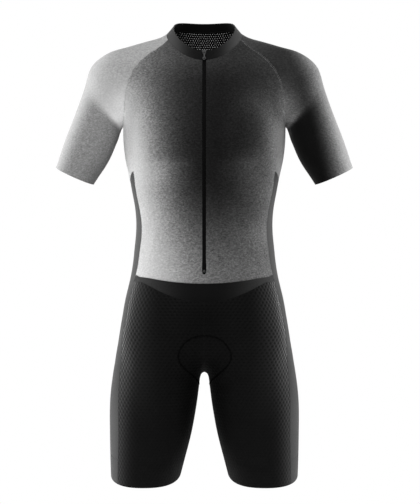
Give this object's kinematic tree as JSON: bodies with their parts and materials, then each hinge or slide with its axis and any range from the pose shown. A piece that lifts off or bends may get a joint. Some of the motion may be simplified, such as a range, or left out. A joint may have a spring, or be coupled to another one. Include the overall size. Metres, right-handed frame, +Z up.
{
  "type": "triathlon suit",
  "caption": "Short-sleeved one-piece triathlon suit in its worn form, open at neck, cuffs and hems, with a front zip whose pull tab turns.",
  "frame": {"origin": "middle of the neck opening, level with the points where the collar meets the shoulders", "axes": "+Z up, the wearer faces -Y, +X is the wearer's left"},
  "size_m": [0.592, 0.2249, 0.9268],
  "materials": {
    "heathered_knit": "heathered polyester and elastane knit, faded from light grey to near black",
    "open_mesh_knit": "black open mesh knit",
    "dark_sleeve_knit": "heathered knit, black fading to grey",
    "light_sleeve_knit": "heathered knit, light grey",
    "side_knit": "smooth dark grey knit",
    "smooth_yoke_knit": "smooth black knit with a slight sheen",
    "dimpled_leg_knit": "black knit with a raised honeycomb of dimples",
    "collar_knit": "smooth dark grey to black knit",
    "pad_foam": "brushed black knit over foam",
    "zip_tape": "black woven tape",
    "zip_chain": "black nylon coil",
    "zip_metal": "satin grey metal"
  },
  "bodies": {
    "suit": {"front_panel": "heathered_knit", "back_panel": "open_mesh_knit", "sleeve_left": "dark_sleeve_knit", "sleeve_right": "light_sleeve_knit", "side_panel_left": "side_knit", "side_panel_right": "side_knit", "side_band_left": "side_knit", "side_band_right": "side_knit", "front_yoke": "smooth_yoke_knit", "leg_front_left": "dimpled_leg_knit", "leg_front_right": "dimpled_leg_knit", "leg_back_left": "dimpled_leg_knit", "leg_back_right": "dimpled_leg_knit", "collar": "collar_knit", "seat_pad": "pad_foam", "zip_tape_left": "zip_tape", "zip_tape_right": "zip_tape", "zip_chain": "zip_chain", "zip_slider": "zip_metal", "zip_stop": "zip_metal"},
    "zip_pull": {"zip_pull": "zip_metal"}
  },
  "joints": [
    {"name": "zip_pull_hinge", "type": "hinge", "parent": "suit", "child": "zip_pull", "pos_m": [0, -0.06687, -0.04612], "axis": [-1, 0, 0], "range_deg": [0, 175]}
  ]
}
